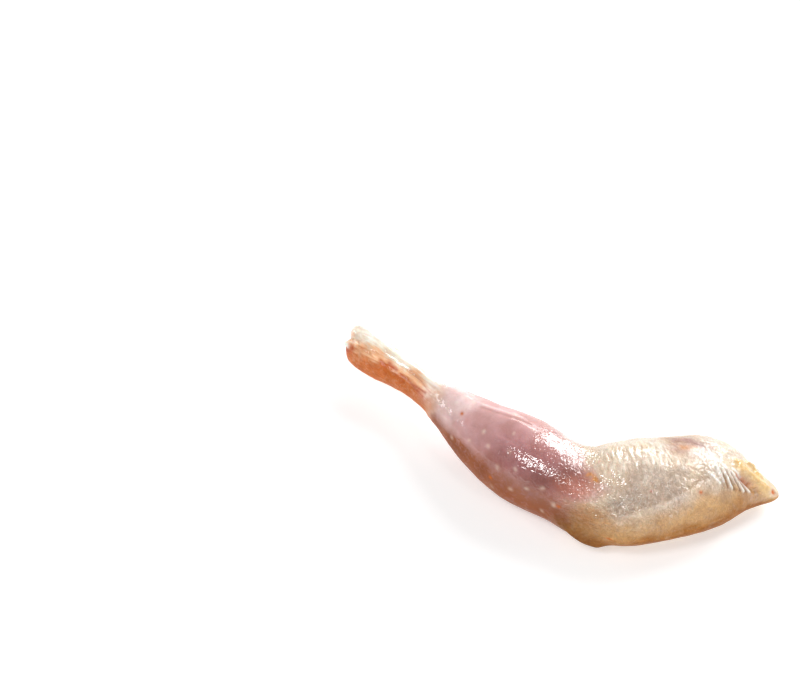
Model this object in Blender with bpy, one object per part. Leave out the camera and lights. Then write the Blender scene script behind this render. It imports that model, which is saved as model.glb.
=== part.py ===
"""A raw quail leg with its skin on, drumstick and thigh in one piece.

It lies on its side on a table at z = 0. The cut hock is at -X +Y, the knee towards -Y and the
hip end at +X. The skin is one closed surface: cross-sections along a bent middle line, carved
with the grooves, folds and fat that the skin shows, and pressed flat where it rests.
"""
import math
from collections import namedtuple

import bpy
import numpy as np

MM = 0.001

# Cross-sections from hock to hip, in millimetres. x, y and z give the middle of the section;
# back, front, up and down give how far the skin stands from that middle.
Section = namedtuple("Section", "x y z back front up down")
SECTIONS = {
    "hock end": Section(-43.6, 24.5, 7.8, 3.5, 3.2, 3.4, 3.3),
    "hock": Section(-40.4, 22.2, 7.9, 4.4, 3.9, 4.2, 4.0),
    "shank": Section(-36.0, 18.9, 7.8, 4.4, 3.9, 4.0, 4.0),
    "shank low": Section(-31.4, 15.2, 7.7, 3.3, 3.3, 3.3, 3.4),
    "collar": Section(-26.6, 10.4, 7.6, 3.1, 3.2, 3.6, 3.8),
    "calf low": Section(-20.4, 4.6, 7.6, 5.0, 6.0, 5.4, 5.8),
    "calf middle": Section(-14.2, -0.8, 7.7, 7.2, 7.9, 7.4, 8.6),
    "calf": Section(-7.5, -6.4, 7.7, 8.6, 8.7, 8.6, 9.2),
    "knee": Section(-1.0, -10.8, 7.6, 8.5, 8.0, 8.6, 9.1),
    "thigh root": Section(5.0, -13.0, 7.4, 10.1, 9.6, 8.4, 9.1),
    "thigh": Section(13.6, -12.8, 7.2, 11.15, 10.7, 8.6, 8.9),
    "thigh far": Section(23.0, -11.0, 6.8, 11.4, 9.8, 8.2, 8.4),
    "shoulder": Section(31.0, -9.2, 5.9, 9.3, 7.8, 6.6, 7.0),
    "hip root": Section(37.0, -9.6, 4.6, 3.4, 4.2, 3.8, 4.2),
    "hip end": Section(41.6, -10.9, 3.5, 1.0, 1.0, 1.2, 1.3),
}

# The two ends close over a short cap; a higher bluntness makes a flatter end.
HOCK_CAP = 2.0
HOCK_BLUNTNESS = 3.4
HIP_CAP = 1.6
HIP_BLUNTNESS = 2.2

# The cut through the hock joint is askew: its back edge leans away from the leg.
HOCK_SLANT = -0.30
HOCK_SLANT_REACH = 9.0

# Where the flesh rests, the skin turns flat within this height of the table.
PRESS = 0.8

# Relief on the skin, in millimetres: half-width, height (below zero cuts in), and a path of
# (distance along the leg from the hock, degrees round it from the back over the top).
Stroke = namedtuple("Stroke", "width height path")
RELIEF = {
    "condyle, back": Stroke(1.8, 0.30, ((0.4, 62), (3.5, 66))),
    "condyle, front": Stroke(2.0, 0.40, ((0.4, 146), (4.5, 150))),
    "notch between the condyles": Stroke(0.8, -0.50, ((0.0, 104), (2.4, 110))),
    "notch under the hock": Stroke(1.3, -0.45, ((0.0, 262), (4.5, 266))),
    "tendon": Stroke(1.2, 0.30, ((6.0, 80), (14.0, 77), (23.0, 74))),
    "groove beside the tendon": Stroke(1.0, -0.22, ((9.0, 110), (16.0, 106), (22.0, 104))),
    "shin edge": Stroke(1.2, 0.22, ((8.0, 150), (16.0, 150), (22.0, 150))),
    "calf ridge": Stroke(2.6, 0.30, ((27.0, 82), (34.0, 77), (42.0, 72))),
    "shin groove": Stroke(2.4, -0.30, ((30.0, 160), (38.0, 158), (48.0, 156))),
    "knee valley": Stroke(4.2, -0.65, ((59.8, 62), (60.2, 89), (62.0, 116), (60.6, 152))),
    "knee cap": Stroke(3.2, 0.50, ((56.5, 178), (58.5, 188))),
    "loose skin under the knee": Stroke(1.3, 1.05, ((60.0, 186), (61.2, 196), (62.6, 204))),
    "thigh crest": Stroke(4.5, 0.35, ((66.0, 84), (75.0, 80), (85.0, 84))),
    "thigh valley": Stroke(3.2, -0.55, ((64.5, 134), (69.0, 120), (74.0, 115), (80.5, 108))),
    "thigh fold": Stroke(1.3, 0.30, ((62.6, 154), (67.7, 138), (73.1, 128), (79.2, 121))),
    "lower rim": Stroke(1.3, 0.40, ((65.5, 184), (72.9, 186), (80.0, 186))),
    "fat ridge": Stroke(0.95, 0.85, ((89.8, 97), (92.2, 100), (94.2, 109), (97.0, 118))),
    "fat lump, first": Stroke(0.75, 0.60, ((89.7, 87), (90.5, 84))),
    "fat lump, second": Stroke(0.75, 0.60, ((92.2, 74), (92.8, 70))),
    "fat lump, third": Stroke(0.70, 0.50, ((94.0, 86), (94.6, 84))),
    "groove under the ridge": Stroke(0.6, -0.75, ((89.8, 113), (91.7, 121), (93.9, 133))),
}

# The skin gathers into folds that run together towards the hip end.
FOLD_COUNT = 5
FOLD_WIDTH = 0.34
FOLD_HEIGHT = 0.50
FIRST_FOLD = ((84.8, 101), (85.4, 128))
LAST_FOLD = ((88.6, 109), (92.6, 138))

# The thick skin of the drumstick ends in a wavy edge round the shank.
COLLAR_PLACE = 22.8
COLLAR_HEIGHT = 0.22
COLLAR_EDGE = 1.3
COLLAR_FLAT = 3.0
COLLAR_FADE = 9.0

# Slow unevenness of the flesh: wavelengths, and the height of the longest one.
SWELL_LENGTHS = (24.0, 15.0, 9.0)
SWELL_HEIGHT = 0.11
SWELL_SEED = 5

# Mesh: sections round each cap, sections between the caps, and corners in each.
CAP_RINGS = 5
BODY_RINGS = 118
SIDES = 46
# The hip end, with its folds, has this much closer sections from here on.
CLOSE_FROM = 82.0
CLOSE_FACTOR = 2.8
# Corners are closer together on top, where the relief is finest.
TOP_BIAS = 0.22

SKIN_COLOUR = (0.62, 0.36, 0.27, 1.0)
SKIN_ROUGHNESS = 0.35


def smooth(x):
    """Ease from 0 to 1 as x goes from 0 to 1."""
    x = np.clip(x, 0.0, 1.0)
    return x * x * (3.0 - 2.0 * x)


def spline(knots, values, at):
    """Natural cubic spline through one row of values for each knot, read at the places given."""
    count = len(knots)
    step = np.diff(knots)
    slope = np.diff(values, axis=0) / step[:, None]
    matrix = np.eye(count)
    right = np.zeros_like(values)
    for i in range(1, count - 1):
        matrix[i, i - 1:i + 2] = step[i - 1], 2 * (step[i - 1] + step[i]), step[i]
        right[i] = 6 * (slope[i] - slope[i - 1])
    bend = np.linalg.solve(matrix, right)
    i = np.clip(np.searchsorted(knots, at) - 1, 0, count - 2)
    a = ((knots[i + 1] - at) / step[i])[:, None]
    b = 1.0 - a
    curve = ((a**3 - a) * bend[i] + (b**3 - b) * bend[i + 1]) * (step[i]**2)[:, None] / 6
    return a * values[i] + b * values[i + 1] + curve


def ring_places(length):
    """Distances of the rings from the hock end: round both caps, and closer over the folds."""
    turn = np.arange(1, CAP_RINGS + 1) / CAP_RINGS * math.pi / 2
    hock = HOCK_CAP * (1 - np.cos(turn)**(2 / HOCK_BLUNTNESS))
    hip = length - HIP_CAP * (1 - np.cos(turn)**(2 / HIP_BLUNTNESS))
    fine = np.linspace(HOCK_CAP, length - HIP_CAP, 2000)
    density = 1 + (CLOSE_FACTOR - 1) * smooth((fine - CLOSE_FROM) / 4)
    share = np.concatenate([[0.0], np.cumsum(density[1:])])
    body = np.interp(np.linspace(0, share[-1], BODY_RINGS + 2)[1:-1], share, fine)
    return np.concatenate([hock, body, hip[::-1]])


def cap_size(places, length):
    """How large each section is, from 1 on the body down to 0 at the very ends."""
    hock = np.clip(1 - places / HOCK_CAP, 0, 1)
    hip = np.clip(1 - (length - places) / HIP_CAP, 0, 1)
    return (1 - hock**HOCK_BLUNTNESS)**(1 / HOCK_BLUNTNESS) * (1 - hip**HIP_BLUNTNESS)**(1 / HIP_BLUNTNESS)


def fold_strokes():
    """The folds at the hip end, spread evenly from the first to the last."""
    strokes = []
    for share in np.linspace(0, 1, FOLD_COUNT):
        path = (1 - share) * np.array(FIRST_FOLD) + share * np.array(LAST_FOLD)
        strokes.append(Stroke(FOLD_WIDTH, FOLD_HEIGHT, path))
    return strokes


def stroke_relief(stroke, places, angles, radius):
    """Height that one stroke adds at each point: a soft ridge along its path."""
    nearest = np.full((len(places), len(angles)), np.inf)
    for (start, start_turn), (end, end_turn) in zip(stroke.path, stroke.path[1:]):
        start_angle = math.radians(start_turn)
        end_angle = math.radians(end_turn)
        middle = (start_angle + end_angle) / 2
        angle = (angles[None, :] - middle + math.pi) % (2 * math.pi) - math.pi + middle
        along = places[:, None] - start
        around = (angle - start_angle) * radius
        run = end - start
        rise = (end_angle - start_angle) * radius
        share = np.clip((along * run + around * rise) / (run**2 + rise**2), 0, 1)
        nearest = np.minimum(nearest, (along - share * run)**2 + (around - share * rise)**2)
    return stroke.height * np.exp(-nearest / stroke.width**2)


def collar_relief(places, angles):
    """The step where the drumstick's thick skin begins, which dies away up the calf."""
    edge = COLLAR_PLACE + 0.6 * np.sin(angles - 0.6) + 0.35 * np.sin(3 * angles + 1.0)
    past = places[:, None] - edge[None, :]
    return COLLAR_HEIGHT * smooth(past / COLLAR_EDGE) * (1 - smooth((past - COLLAR_FLAT) / COLLAR_FADE))


def swell(points):
    """Slow waves in several directions, for the unevenness of flesh."""
    draw = np.random.default_rng(SWELL_SEED)
    total = np.zeros(points.shape[:-1])
    for wavelength in SWELL_LENGTHS:
        height = SWELL_HEIGHT * wavelength / SWELL_LENGTHS[0]
        for _ in range(3):
            way = draw.normal(size=3)
            way /= np.linalg.norm(way)
            total += height * np.sin(points @ way * (2 * math.pi / wavelength) + draw.uniform(0, 2 * math.pi))
    return total


def outward_normals(points):
    """Unit normals of the rings, pointing out of the leg."""
    along = np.gradient(points, axis=0)
    around = np.roll(points, -1, axis=1) - np.roll(points, 1, axis=1)
    normals = np.cross(around, along)
    return normals / np.maximum(np.linalg.norm(normals, axis=-1, keepdims=True), 1e-9)


def press_on_table(height):
    """Flatten what would reach below the table, with a soft turn into the flat."""
    soft = (height + PRESS)**2 / (4 * PRESS)
    return np.where(height < -PRESS, 0.0, np.where(height < PRESS, soft, height))


def leg_surface():
    """Rings of points round the leg, and the points that close its two ends."""
    table = np.array(list(SECTIONS.values()))
    knots = np.concatenate([[0.0], np.cumsum(np.linalg.norm(np.diff(table[:, :2], axis=0), axis=1))])
    length = knots[-1]
    places = ring_places(length)
    rows = spline(knots, table, places)
    heading = spline(knots, table[:, :2], places + 0.01) - spline(knots, table[:, :2], places - 0.01)
    heading /= np.linalg.norm(heading, axis=1, keepdims=True)
    across = np.stack([-heading[:, 1], heading[:, 0]], axis=1)

    even = np.arange(SIDES) / SIDES * 2 * math.pi
    angles = even + TOP_BIAS * np.cos(even)
    size = cap_size(places, length)[:, None]
    sideways = np.where(np.cos(angles) > 0, rows[:, 3:4], rows[:, 4:5]) * np.cos(angles) * size
    upwards = np.where(np.sin(angles) > 0, rows[:, 5:6], rows[:, 6:7]) * np.sin(angles) * size
    lean = HOCK_SLANT * smooth(1 - places / HOCK_SLANT_REACH)[:, None] * sideways
    plan = rows[:, None, :2] + across[:, None] * sideways[..., None] + heading[:, None] * lean[..., None]
    points = np.concatenate([plan, (rows[:, 2:3] + upwards)[..., None]], axis=2)

    radius = rows[:, 3:7].mean(axis=1)[:, None]
    relief = collar_relief(places, angles) + swell(points)
    for stroke in list(RELIEF.values()) + fold_strokes():
        relief += stroke_relief(stroke, places, angles, radius)
    points += outward_normals(points) * (relief * np.clip(1.5 * size, 0, 1))[..., None]
    points[..., 2] = press_on_table(points[..., 2])

    ends = spline(knots, table[:, :3], np.array([0.0, length]))
    return points, ends


def leg_mesh():
    """The leg as one closed mesh, in metres, centred on its own box and standing on z = 0."""
    points, ends = leg_surface()
    rings, sides = points.shape[:2]
    vertices = np.concatenate([points.reshape(-1, 3), ends])
    middle = (vertices.min(axis=0) + vertices.max(axis=0)) / 2
    vertices[:, :2] -= middle[:2]

    hock_pole = rings * sides
    hip_pole = hock_pole + 1
    faces = []
    for j in range(sides):
        k = (j + 1) % sides
        faces.append((hock_pole, k, j))
        faces.append((hip_pole, (rings - 1) * sides + j, (rings - 1) * sides + k))
        for i in range(rings - 1):
            faces.append((i * sides + j, i * sides + k, (i + 1) * sides + k, (i + 1) * sides + j))
    mesh = bpy.data.meshes.new("quail_leg")
    mesh.from_pydata((vertices * MM).tolist(), [], faces)
    mesh.shade_smooth()
    return mesh


def skin_material():
    """Pale pink raw skin over flesh."""
    material = bpy.data.materials.new("raw_skin")
    material.use_nodes = True
    shader = material.node_tree.nodes["Principled BSDF"]
    shader.inputs["Base Color"].default_value = SKIN_COLOUR
    shader.inputs["Roughness"].default_value = SKIN_ROUGHNESS
    shader.inputs["Metallic"].default_value = 0.0
    return material


def main():
    for old in list(bpy.data.objects):
        bpy.data.objects.remove(old)
    leg = bpy.data.objects.new("quail_leg", leg_mesh())
    leg.data.materials.append(skin_material())
    bpy.context.collection.objects.link(leg)


main()
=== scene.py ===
"""How the raw quail leg looks: its wet skin, the pale table under it, soft light and the camera.

The skin is one closed mesh with the solid's own form, many times finer. It is laid out by two
numbers: the distance along the leg from the hock, in millimetres, and the angle round it in
degrees, 0 at the back (+Y), 90 on top, 180 at the front and 270 underneath.
"""
import itertools
import math
from collections import namedtuple

import bpy
import numpy as np
from mathutils import Matrix, Vector


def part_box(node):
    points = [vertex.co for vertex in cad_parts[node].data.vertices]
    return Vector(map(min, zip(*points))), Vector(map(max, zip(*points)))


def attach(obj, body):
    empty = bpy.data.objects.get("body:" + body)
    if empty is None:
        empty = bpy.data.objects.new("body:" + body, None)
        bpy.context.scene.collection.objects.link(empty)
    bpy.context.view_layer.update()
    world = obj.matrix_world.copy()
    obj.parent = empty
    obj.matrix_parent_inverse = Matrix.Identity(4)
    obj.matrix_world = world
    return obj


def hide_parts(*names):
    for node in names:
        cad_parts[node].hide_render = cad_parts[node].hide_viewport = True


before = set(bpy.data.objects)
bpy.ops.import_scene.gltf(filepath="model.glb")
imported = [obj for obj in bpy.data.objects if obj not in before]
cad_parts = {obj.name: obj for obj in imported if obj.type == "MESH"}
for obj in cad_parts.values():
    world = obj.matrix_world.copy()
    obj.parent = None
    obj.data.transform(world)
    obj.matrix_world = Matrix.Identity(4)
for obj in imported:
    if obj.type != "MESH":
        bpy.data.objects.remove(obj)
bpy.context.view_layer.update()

MM = 0.001
NODE = "quail_leg"

# ----------------------------------------- form of the solid

# Cross-sections from hock to hip, in millimetres. x, y and z give the middle of the section;
# back, front, up and down give how far the skin stands from that middle.
Section = namedtuple("Section", "x y z back front up down")
SECTIONS = {
    "hock end": Section(-43.6, 24.5, 7.8, 3.5, 3.2, 3.4, 3.3),
    "hock": Section(-40.4, 22.2, 7.9, 4.4, 3.9, 4.2, 4.0),
    "shank": Section(-36.0, 18.9, 7.8, 4.4, 3.9, 4.0, 4.0),
    "shank low": Section(-31.4, 15.2, 7.7, 3.3, 3.3, 3.3, 3.4),
    "collar": Section(-26.6, 10.4, 7.6, 3.1, 3.2, 3.6, 3.8),
    "calf low": Section(-20.4, 4.6, 7.6, 5.0, 6.0, 5.4, 5.8),
    "calf middle": Section(-14.2, -0.8, 7.7, 7.2, 7.9, 7.4, 8.6),
    "calf": Section(-7.5, -6.4, 7.7, 8.6, 8.7, 8.6, 9.2),
    "knee": Section(-1.0, -10.8, 7.6, 8.5, 8.0, 8.6, 9.1),
    "thigh root": Section(5.0, -13.0, 7.4, 10.1, 9.6, 8.4, 9.1),
    "thigh": Section(13.6, -12.8, 7.2, 11.15, 10.7, 8.6, 8.9),
    "thigh far": Section(23.0, -11.0, 6.8, 11.4, 9.8, 8.2, 8.4),
    "shoulder": Section(31.0, -9.2, 5.9, 9.3, 7.8, 6.6, 7.0),
    "hip root": Section(37.0, -9.6, 4.6, 3.4, 4.2, 3.8, 4.2),
    "hip end": Section(41.6, -10.9, 3.5, 1.0, 1.0, 1.2, 1.3),
}
# Both ends are rounded off: over how many millimetres, and how bluntly.
HOCK_CAP = 2.0
HOCK_BLUNTNESS = 3.4
HIP_CAP = 1.6
HIP_BLUNTNESS = 2.2
# The cut at the hock leans by this share of the width, which dies away over this distance.
HOCK_SLANT = -0.30
HOCK_SLANT_REACH = 9.0
# The underside turns into the flat within this height, above and below the table's.
PRESS = 0.8

# Relief on the skin, in millimetres: half-width, height (below zero cuts in), and a path of
# (distance along the leg from the hock, degrees round it).
Stroke = namedtuple("Stroke", "width height path")
RELIEF = {
    "condyle, back": Stroke(1.8, 0.30, ((0.4, 62), (3.5, 66))),
    "condyle, front": Stroke(2.0, 0.40, ((0.4, 146), (4.5, 150))),
    "notch between the condyles": Stroke(0.8, -0.50, ((0.0, 104), (2.4, 110))),
    "notch under the hock": Stroke(1.3, -0.45, ((0.0, 262), (4.5, 266))),
    "tendon": Stroke(1.2, 0.30, ((6.0, 80), (14.0, 77), (23.0, 74))),
    "groove beside the tendon": Stroke(1.0, -0.22, ((9.0, 110), (16.0, 106), (22.0, 104))),
    "shin edge": Stroke(1.2, 0.22, ((8.0, 150), (16.0, 150), (22.0, 150))),
    "calf ridge": Stroke(2.6, 0.30, ((27.0, 82), (34.0, 77), (42.0, 72))),
    "shin groove": Stroke(2.4, -0.30, ((30.0, 160), (38.0, 158), (48.0, 156))),
    "knee valley": Stroke(4.2, -0.65, ((59.8, 62), (60.2, 89), (62.0, 116), (60.6, 152))),
    "knee cap": Stroke(3.2, 0.50, ((56.5, 178), (58.5, 188))),
    "loose skin under the knee": Stroke(1.3, 1.05, ((60.0, 186), (61.2, 196), (62.6, 204))),
    "thigh crest": Stroke(4.5, 0.35, ((66.0, 84), (75.0, 80), (85.0, 84))),
    "thigh valley": Stroke(3.2, -0.55, ((64.5, 134), (69.0, 120), (74.0, 115), (80.5, 108))),
    "thigh fold": Stroke(1.3, 0.30, ((62.6, 154), (67.7, 138), (73.1, 128), (79.2, 121))),
    "lower rim": Stroke(1.3, 0.40, ((65.5, 184), (72.9, 186), (80.0, 186))),
    "fat ridge": Stroke(0.95, 0.85, ((89.8, 97), (92.2, 100), (94.2, 109), (97.0, 118))),
    "fat lump, first": Stroke(0.75, 0.60, ((89.7, 87), (90.5, 84))),
    "fat lump, second": Stroke(0.75, 0.60, ((92.2, 74), (92.8, 70))),
    "fat lump, third": Stroke(0.70, 0.50, ((94.0, 86), (94.6, 84))),
    "groove under the ridge": Stroke(0.6, -0.75, ((89.8, 113), (91.7, 121), (93.9, 133))),
}
# The folds of skin in front of the hip rim.
FOLD_COUNT = 5
FOLD_WIDTH = 0.34
FOLD_HEIGHT = 0.50
FIRST_FOLD = ((84.8, 101), (85.4, 128))
LAST_FOLD = ((88.6, 109), (92.6, 138))
# The step at the collar: its place, height and width, how far past it the height stays whole, and
# over what distance it then dies away. The collar's line has waves round the leg, each given as
# its height, how many there are and its phase.
COLLAR_PLACE = 22.8
COLLAR_HEIGHT = 0.22
COLLAR_EDGE = 1.3
COLLAR_FLAT = 3.0
COLLAR_FADE = 9.0
COLLAR_WAVES = ((0.6, 1, -0.6), (0.35, 3, 1.0))
# Slow waves in the flesh: their lengths, how many of each, and the longest ones' height.
SWELL_LENGTHS = (24.0, 15.0, 9.0)
SWELL_WAVES = 3
SWELL_HEIGHT = 0.11

# ------------------------------------------ mesh of the skin

CAP_RINGS = 14
BODY_RINGS = 436
SIDES = 208
# From this distance on, eased over a few millimetres, the rings are closer by this factor.
CLOSE_FROM = 82.0
CLOSE_EASE = 4.0
CLOSE_FACTOR = 1.6
LENGTH_SAMPLES = 4000
# Corners are closer together on top, where the skin is seen best.
TOP_BIAS = 0.22
# The leg's heading is measured this far before and after each ring.
HEADING_STEP = 0.01
# On the end caps the relief fades with the section's size, of which it takes this many times.
RELIEF_FADE = 1.5

# ----------------------------------------------- fine relief

# Small or shallow forms of the skin, which the solid leaves out.
FINE_RELIEF = {
    "lobe wrinkle, upper": Stroke(0.28, -0.16, ((1.2, 100), (2.6, 112), (3.0, 124))),
    "lobe wrinkle, lower": Stroke(0.28, -0.14, ((0.9, 112), (1.7, 124), (1.8, 136))),
    "nub at the cut": Stroke(0.40, 0.45, ((0.3, 134), (0.7, 138))),
    "white ridge on the calf": Stroke(0.5, 0.10, ((33.0, 78), (38.0, 72), (43.0, 66))),
    "crease on the calf": Stroke(0.4, -0.10, ((34.0, 84), (39.5, 78), (45.0, 72))),
    "vein on the calf": Stroke(0.25, 0.07, ((41.0, 112), (43.5, 110), (46.0, 112))),
    "edge of the thigh muscle": Stroke(
        0.6, 0.14, ((66.0, 146), (71.0, 136), (77.0, 127), (82.0, 118))),
    "crease along the muscle": Stroke(
        0.5, -0.14, ((66.5, 141), (71.0, 131), (77.0, 122), (82.0, 113))),
    "upper crease of the muscle": Stroke(0.5, -0.10, ((66.0, 118), (70.0, 113), (75.0, 110))),
    "rim line": Stroke(0.4, 0.12, ((64.0, 178), (70.0, 180), (77.0, 179), (84.0, 177))),
    "shoulder rim": Stroke(0.5, 0.12, ((80.0, 44), (84.0, 52), (87.5, 66))),
    "shoulder crease": Stroke(0.5, -0.12, ((79.0, 54), (83.0, 62), (86.0, 74))),
    "hollow above the knee": Stroke(3.0, -0.40, ((50.0, 70), (55.0, 76), (58.5, 84))),
    "short pleat, first": Stroke(0.22, 0.10, ((83.0, 108), (84.4, 121))),
    "short pleat, second": Stroke(0.22, 0.12, ((86.2, 97), (88.2, 110))),
    "short pleat, third": Stroke(0.20, 0.10, ((88.2, 101), (90.4, 112))),
    "pleat that crosses": Stroke(0.22, 0.10, ((86.4, 126), (89.4, 131))),
    "hole at the tip": Stroke(0.45, -0.50, ((97.5, 119), (97.9, 125))),
}
SHORT_PLEATS = ("short pleat, first", "short pleat, second", "short pleat, third")

# Patches of crinkled skin, in millimetres: how long the lumps are along and round the leg, how
# high they are, how high the finest creases on them are, the patch's half-width and path, and how
# far the lumps bend off straight.
Crinkle = namedtuple("Crinkle", "along around height fine width path bend", defaults=(0.8,))
CRINKLES = {
    "all over": Crinkle(1.00, 1.00, 0.012, 0.020, 900.0, ((0, 90), (99, 90))),
    "calf sparkle": Crinkle(
        0.95, 0.85, 0.055, 0.075, 4.5, ((46.0, 121), (52.0, 112), (56.5, 116))),
    "calf back": Crinkle(0.60, 1.20, 0.055, 0.040, 3.6, ((50.0, 46), (58.0, 60))),
    "knee": Crinkle(0.60, 1.10, 0.060, 0.045, 5.0, ((60.0, 84), (62.0, 108), (62.0, 140))),
    "thigh top": Crinkle(
        0.55, 2.00, 0.170, 0.010, 4.2, ((61.0, 80), (70.0, 76), (77.0, 74)), 0.50),
    "shoulder": Crinkle(1.00, 1.20, 0.160, 0.030, 2.8, ((83.4, 75), (86.0, 84), (87.6, 92))),
    "thigh back": Crinkle(0.90, 1.40, 0.030, 0.020, 8.0, ((63.0, 20), (74.0, 20), (86.0, 40))),
    "thigh band": Crinkle(
        0.55, 0.90, 0.110, 0.075, 4.2, ((65.0, 132), (71.0, 122), (78.0, 117), (84.0, 108))),
    "thigh front": Crinkle(
        0.80, 1.00, 0.036, 0.090, 8.0, ((62.0, 165), (74.0, 160), (86.0, 155))),
    "hip back": Crinkle(0.90, 1.00, 0.130, 0.030, 2.6, ((86.5, 58), (90.5, 70), (93.5, 80))),
    "hip": Crinkle(1.10, 0.70, 0.060, 0.030, 3.6, ((89.0, 104), (92.0, 120), (95.0, 136))),
    "shank": Crinkle(3.00, 0.80, 0.050, 0.020, 9.0, ((0, 90), (12, 120), (20, 110))),
    "hock": Crinkle(1.20, 1.10, 0.090, 0.030, 4.0, ((0.0, 90), (3.0, 150))),
    "underside": Crinkle(1.10, 1.20, 0.030, 0.030, 9.0, ((60.0, 270), (90.0, 260))),
    "calf underside": Crinkle(1.00, 1.10, 0.025, 0.020, 9.0, ((28.0, 260), (55.0, 260))),
}
# The lumps bend in waves of this length, and carry smaller lumps: how many times finer, and what
# share of the height.
CRINKLE_BEND_LENGTH = 2.4
CRINKLE_FINER = 2.1
CRINKLE_FINER_SHARE = 0.25
# The creases' height is kept as a mask of this many times the millimetres.
CREASE_UNIT = 10.0
# Low lumps all over, and others half their size and height.
LUMP_SIZE = 4.0
LUMP_HEIGHT = 0.10
# The fine relief is also a mask, which goes from 0 to 1 within this height; with it shade is
# painted into the hollows and light onto the lumps.
RELIEF_SHADE_RANGE = 0.2

# Noise is made from a table of slopes. Under the crinkles it is turned, so that it doesn't line up
# with the leg.
NOISE_TABLE = 256
NOISE_GAIN = 1.6
NOISE_TURN = 1.1
NOISE_AXIS = (0.48, 0.60, 0.64)
# Where the random numbers of each thing start. Things with several noises count on from there.
SEEDS = {
    "swell": 5,
    "hidden pits": 11,
    "pits": 12,
    "lumps": 21,
    "crinkles": 31,
    "warp": 71,
    "drift": 73,
    "blotch": 75,
    "fleck": 76,
    "streak": 77,
}
# What a crinkle adds to its seed for its three bends and for its finer lumps.
BEND_SEEDS = (100, 200, 300)
FINER_SEED = 50

# Feather pits, seen as small pale mounds: distance along and degrees round.
PIT_HEIGHT = 0.06
PITS = (
    (25.2, 159), (28.6, 142), (25.6, 119), (29.2, 100), (31.8, 78), (40.7, 67), (38.0, 116),
    (31.8, 167), (36.2, 142), (43.6, 96), (46.1, 77), (40.7, 130), (45.2, 121), (44.5, 147),
    (44.5, 183), (48.4, 168), (51.1, 156), (53.6, 146), (47.9, 136), (51.6, 198), (54.5, 179),
    (56.1, 160), (62.8, 142), (64.2, 138), (68.3, 143), (65.3, 155),
)
# Out of the photograph's sight they follow a staggered grid, each moved a little: the grid's ends
# in degrees round and in distance along, its step in millimetres, how much of that lies between
# two rows, and the shift. The leg's radius is taken as the same all along.
HIDDEN_PIT_TURNS = (212.0, 390.0)
HIDDEN_PIT_PLACES = (26.0, 84.0)
HIDDEN_PIT_STEP = 4.4
HIDDEN_PIT_ROW = 0.8
HIDDEN_PIT_SHIFT = 1.3
HIDDEN_PIT_RADIUS = 8.0
# Each pit's half-length, tilt in degrees, half-width and strength lie between these.
PIT_LONG = (0.03, 0.15)
PIT_TILT = (-2, 2)
PIT_WIDTH = (0.28, 0.46)
PIT_STRENGTH = (0.25, 0.9)

# --------------------------------------------------- colours


def srgb(red, green, blue):
    """A colour given as 0 to 255 display values, as the shader's linear one."""
    linear = []
    for value in (red, green, blue):
        value /= 255.0
        linear.append(value / 12.92 if value < 0.04045 else ((value + 0.055) / 1.055) ** 2.4)
    return (*linear, 1.0)


COOL_CREAM = srgb(227, 211, 194)
WARM_CREAM = srgb(227, 201, 168)
# Laid over each other in this order: the mask's name, its colour and how strongly it covers.
LAYERS = (
    # Paler skin on the thigh's top; at the hip's shine it is a painted highlight.
    ("light", srgb(248, 234, 218), 0.75),
    # Tan: the thigh's lower skin colour, and painted shade on its back.
    ("tan", srgb(202, 157, 105), 1.0),
    ("band", srgb(199, 178, 163), 0.85),
    ("shade", srgb(168, 150, 136), 0.5),
    ("purple", srgb(176, 138, 132), 0.8),
    # Amber on the thigh's lower edge: partly the skin's own colour, partly painted shade.
    ("amber_and_shade", srgb(160, 100, 40), 1.0),
    ("mauve", srgb(220, 170, 169), 1.0),
    # Painted shade: darker mauve on the drumstick's lower side towards the knee.
    ("calf_shade", srgb(174, 112, 112), 0.82),
    # Painted shade: a darker band on the drumstick's lower side just before the knee.
    ("knee_fold_shade", srgb(136, 82, 74), 0.65),
    # Brown on the drumstick's lower edge: partly the skin's own brown, partly painted shade.
    ("brown_and_shade", srgb(156, 88, 52), 1.0),
    ("knee", srgb(208, 126, 100), 0.6),
    ("gold", srgb(222, 150, 78), 0.85),
    ("lobe", srgb(134, 82, 24), 0.95),
    # Pale skin on the drumstick's top and at the collar; the thin line on the calf's ridge and the
    # patch at the back of the knee are painted highlights.
    ("pale", srgb(248, 218, 215), 0.85),
    ("shank", srgb(255, 247, 232), 1.0),
    ("peach", srgb(248, 192, 150), 1.0),
    ("orange", srgb(206, 111, 52), 0.95),
    ("collar", srgb(252, 220, 206), 0.9),
    ("blood", srgb(192, 98, 76), 0.7),
    ("bead", srgb(228, 188, 120), 0.95),
    # Painted shade in the furrows between the folds at the hip.
    ("furrow_shade", srgb(160, 124, 92), 0.95),
    # Painted highlights on the folds at the hip and on the hip's shine.
    ("pleat", srgb(255, 252, 246), 1.0),
    ("flush", srgb(176, 96, 54), 0.75),
    ("hole", srgb(232, 120, 36), 1.0),
    ("pit", srgb(248, 224, 204), 0.55),
    ("speck", srgb(208, 104, 2), 1.0),
    ("nub", srgb(255, 250, 240), 1.0),
)
# These are laid on evenly, the others in a ragged way.
SMOOTH_LAYERS = ("pit", "speck", "mauve", "shank", "pale", "light", "nub", "pleat", "furrow_shade")

# The borders of colours waver: each wave's height and size in millimetres.
WAVER = ((1.3, 5.0), (0.45, 1.7))
BLOTCH_SIZE = 3.0
FLECK_SIZE = 1.0
# How much blotches and flecks break up a ragged dab, and the borders at the collar and the knee.
RAGGED = (0.5, 0.35)
COLLAR_RAGGED = 0.8
KNEE_RAGGED = (1.6, 0.8)
# The collar's border wavers less than the others, by this share.
COLLAR_STEADY = 0.6
# The drumstick's colour begins between these distances from the collar's line.
COLLAR_BORDER = (-1.2, 2.8)
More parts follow.
